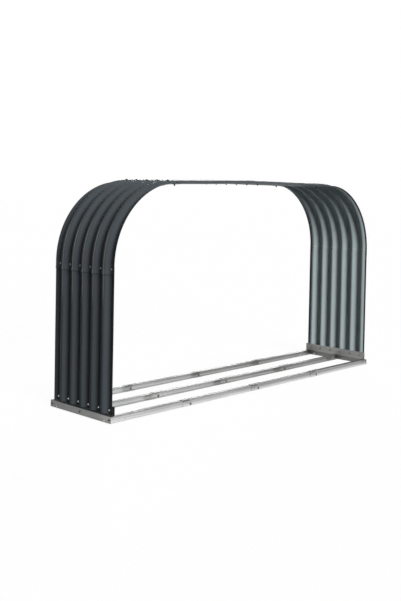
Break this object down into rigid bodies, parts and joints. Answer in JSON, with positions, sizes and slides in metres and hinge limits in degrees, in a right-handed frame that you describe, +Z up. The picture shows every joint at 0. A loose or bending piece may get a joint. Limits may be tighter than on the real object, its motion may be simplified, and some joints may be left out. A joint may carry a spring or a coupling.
{
  "type": "log store",
  "caption": "Arched log store of corrugated steel sheets on a low base of folded end brackets and channel rails, open at the front and back for stacking firewood.",
  "frame": {"origin": "middle of the base rectangle, on the ground", "axes": "+X along the store towards its right end as seen from the front, +Y from the front opening to the back opening, +Z up"},
  "size_m": [2.096, 0.452, 1.1319],
  "materials": {
    "coated_sheet": "semi-gloss anthracite coil coating on corrugated steel sheet, a paler grey-green coat on the inside",
    "galvanised_steel": "bare hot-dip galvanised steel, satin with a faint spangle"
  },
  "bodies": {
    "root": {"left_wall_sheet": "coated_sheet", "left_corner_sheet": "coated_sheet", "roof_sheet_left": "coated_sheet", "roof_sheet_right": "coated_sheet", "right_corner_sheet": "coated_sheet", "right_wall_sheet": "coated_sheet", "left_end_bracket": "galvanised_steel", "right_end_bracket": "galvanised_steel", "front_rail_1": "galvanised_steel", "front_rail_2": "galvanised_steel", "front_rail_3": "galvanised_steel", "front_rail_4": "galvanised_steel", "middle_rail_1": "galvanised_steel", "middle_rail_2": "galvanised_steel", "middle_rail_3": "galvanised_steel", "middle_rail_4": "galvanised_steel", "back_rail_1": "galvanised_steel", "back_rail_2": "galvanised_steel", "back_rail_3": "galvanised_steel", "back_rail_4": "galvanised_steel"}
  },
  "joints": []
}
